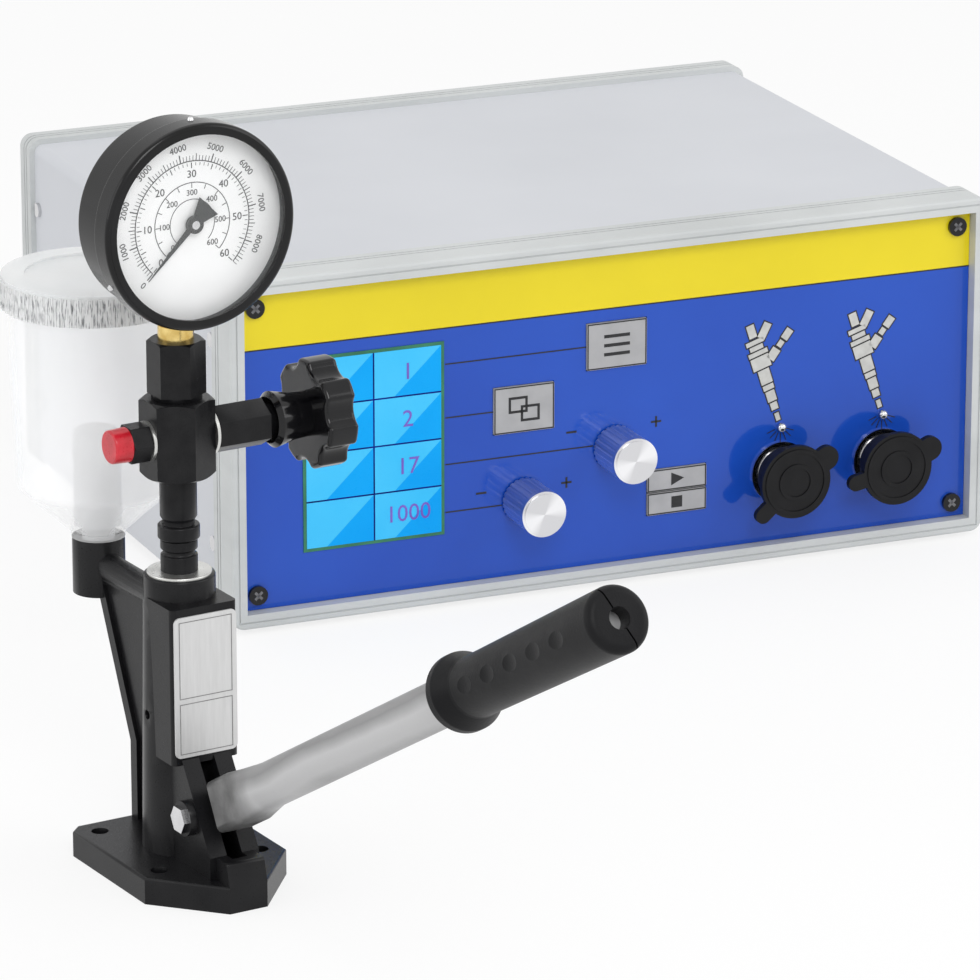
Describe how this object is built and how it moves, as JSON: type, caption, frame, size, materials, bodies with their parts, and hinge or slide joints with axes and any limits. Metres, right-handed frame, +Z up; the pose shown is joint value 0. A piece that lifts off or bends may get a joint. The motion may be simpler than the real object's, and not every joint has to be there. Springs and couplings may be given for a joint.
{
  "type": "diesel injector tester",
  "caption": "Hand-lever diesel injector tester with pressure gauge, star-wheel shut-off valve and clear fuel tank, and its bench case with display, keys, knobs and capped sockets.",
  "frame": {"origin": "on the bench plane, on the axis of the pump column", "axes": "+Z up, the lever points to -Y, the fuel tank stands at +Y, the outlet points to -X and the handwheel to +X"},
  "size_m": [0.7112, 1.0032, 0.3715],
  "materials": {
    "black_casting": "semi-gloss black paint on a casting",
    "black_steel": "satin blackened steel",
    "steel": "ground steel",
    "chrome_metal": "bright plated",
    "plate_metal": "satin plate, left bare",
    "cast_aluminium": "fine cast and turned aluminium",
    "zinc": "zinc plated",
    "brass": "turned brass",
    "black_plastic": "moulded black plastic",
    "black_rubber": "moulded black rubber",
    "red_plastic": "soft red plastic",
    "gauge_paint": "black enamel",
    "clear_glass": "clear",
    "dial_white": "white dial with plain numbers",
    "tank_plastic": "milky translucent plastic",
    "extrusion": "pale satin frame",
    "cover_paint": "light grey powder coat",
    "panel_print": "gloss blue and yellow overlay",
    "screen": "lit cyan display",
    "key_grey": "light grey key",
    "board_green": "circuit board",
    "supply_metal": "folded sheet"
  },
  "bodies": {
    "stand": {"pump_stand": "black_casting", "name_plate": "plate_metal", "pivot_pin": "chrome_metal", "pin_clip": "steel", "pump_barrel": "steel", "return_spring": "steel", "column_ring": "zinc", "delivery_holder": "black_steel", "valve_block": "black_steel", "head_washers": "zinc", "outlet_union": "black_steel", "valve_bonnet": "black_steel", "gauge_adapter": "black_steel", "gauge_stem": "brass", "gauge_case": "gauge_paint", "gauge_bezel": "gauge_paint", "gauge_glass": "clear_glass", "gauge_dial": "dial_white", "gauge_movement": "brass", "bourdon_tube": "brass", "tank": "tank_plastic", "tank_filter": "tank_plastic", "front_bezel": "extrusion", "rear_bezel": "extrusion", "case_cover": "cover_paint", "bottom_plate": "cover_paint", "case_feet": "black_rubber", "side_screws": "chrome_metal", "panel_screws": "black_steel", "front_panel": "panel_print", "display_window": "screen", "display_module": "board_green", "key_board": "board_green", "potentiometers": "steel", "socket_shells": "chrome_metal", "socket_contacts": "brass", "rear_panel": "cover_paint", "mains_inlet": "black_plastic", "switch_frame": "black_plastic", "driver_board": "board_green", "power_supply": "supply_metal"},
    "lever_arm": {"lever": "cast_aluminium", "lever_grip": "black_plastic"},
    "ram": {"tappet": "steel", "plunger": "steel"},
    "stem": {"valve_spindle": "steel"},
    "wheel": {"handwheel": "black_plastic", "handwheel_screw": "chrome_metal"},
    "needle": {"gauge_pointer": "gauge_paint"},
    "outlet_plug": {"outlet_cap": "red_plastic"},
    "lid": {"tank_lid": "tank_plastic"},
    "pulse_dial": {"pulse_knob": "cast_aluminium"},
    "rate_dial": {"rate_knob": "cast_aluminium"},
    "menu_button": {"menu_key": "key_grey"},
    "mode_button": {"mode_key": "key_grey"},
    "start_button": {"start_key": "key_grey"},
    "stop_button": {"stop_key": "key_grey"},
    "left_plug": {"left_socket_cap": "black_rubber"},
    "right_plug": {"right_socket_cap": "black_rubber"},
    "power_rocker": {"rocker": "red_plastic"}
  },
  "joints": [
    {"name": "lever_press", "type": "hinge", "parent": "stand", "child": "lever_arm", "pos_m": [0, -0.03, 0.038], "axis": [1, 0, 0], "range_deg": [0, 26], "stiffness_Nm_per_rad": 4, "springref_deg": -28.65},
    {"name": "ram_lift", "type": "slide", "parent": "stand", "child": "ram", "axis": [0, 0, 1], "range_m": [0, 0.0138], "deforming": ["return_spring"]},
    {"name": "handwheel_turn", "type": "hinge", "parent": "stem", "child": "wheel", "pos_m": [0.05, 0, 0.2157], "axis": [1, 0, 0], "range_deg": [0, 720]},
    {"name": "stem_travel", "type": "slide", "parent": "stand", "child": "stem", "axis": [1, 0, 0], "range_m": [0, 0.0031]},
    {"name": "gauge_needle", "type": "hinge", "parent": "stand", "child": "needle", "pos_m": [0, -0.0192, 0.3225], "axis": [0, 1, 0], "range_deg": [0, 270], "stiffness_Nm_per_rad": 0.0005, "springref_deg": -11.46},
    {"name": "outlet_cap_pull", "type": "slide", "parent": "stand", "child": "outlet_plug", "axis": [-1, 0, 0], "range_m": [0, 0.014]},
    {"name": "tank_lid_lift", "type": "slide", "parent": "stand", "child": "lid", "axis": [0, 0, 1], "range_m": [0, 0.05]},
    {"name": "pulse_knob_turn", "type": "hinge", "parent": "stand", "child": "pulse_dial", "pos_m": [0.34746, 0.25654, 0.053], "axis": [-0.1392, -0.9903, 0], "range_deg": [-150, 150]},
    {"name": "rate_knob_turn", "type": "hinge", "parent": "stand", "child": "rate_dial", "pos_m": [0.39984, 0.24917, 0.0759], "axis": [-0.1392, -0.9903, 0], "range_deg": [-150, 150]},
    {"name": "menu_key_press", "type": "slide", "parent": "stand", "child": "menu_button", "axis": [0.1392, 0.9903, 0], "range_m": [0, 0.0006], "stiffness_N_per_m": 1500, "springref_m": -0.0006},
    {"name": "mode_key_press", "type": "slide", "parent": "stand", "child": "mode_button", "axis": [0.1392, 0.9903, 0], "range_m": [0, 0.0006], "stiffness_N_per_m": 1500, "springref_m": -0.0006},
    {"name": "start_key_press", "type": "slide", "parent": "stand", "child": "start_button", "axis": [0.1392, 0.9903, 0], "range_m": [0, 0.0006], "stiffness_N_per_m": 1500, "springref_m": -0.0006},
    {"name": "stop_key_press", "type": "slide", "parent": "stand", "child": "stop_button", "axis": [0.1392, 0.9903, 0], "range_m": [0, 0.0006], "stiffness_N_per_m": 1500, "springref_m": -0.0006},
    {"name": "left_cap_pull", "type": "slide", "parent": "stand", "child": "left_plug", "axis": [-0.1392, -0.9903, 0], "range_m": [0, 0.016]},
    {"name": "right_cap_pull", "type": "slide", "parent": "stand", "child": "right_plug", "axis": [-0.1392, -0.9903, 0], "range_m": [0, 0.016]},
    {"name": "power_rocker_tilt", "type": "hinge", "parent": "stand", "child": "power_rocker", "pos_m": [0.53223, 0.55523, 0.063], "axis": [0, 0, 1], "range_deg": [-9, 9]}
  ],
  "couplings": [
    {"joint": "ram_lift", "follows": "lever_press", "m_per_rad": 0.029743},
    {"joint": "stem_travel", "follows": "handwheel_turn", "m_per_rad": 0.00023873}
  ]
}
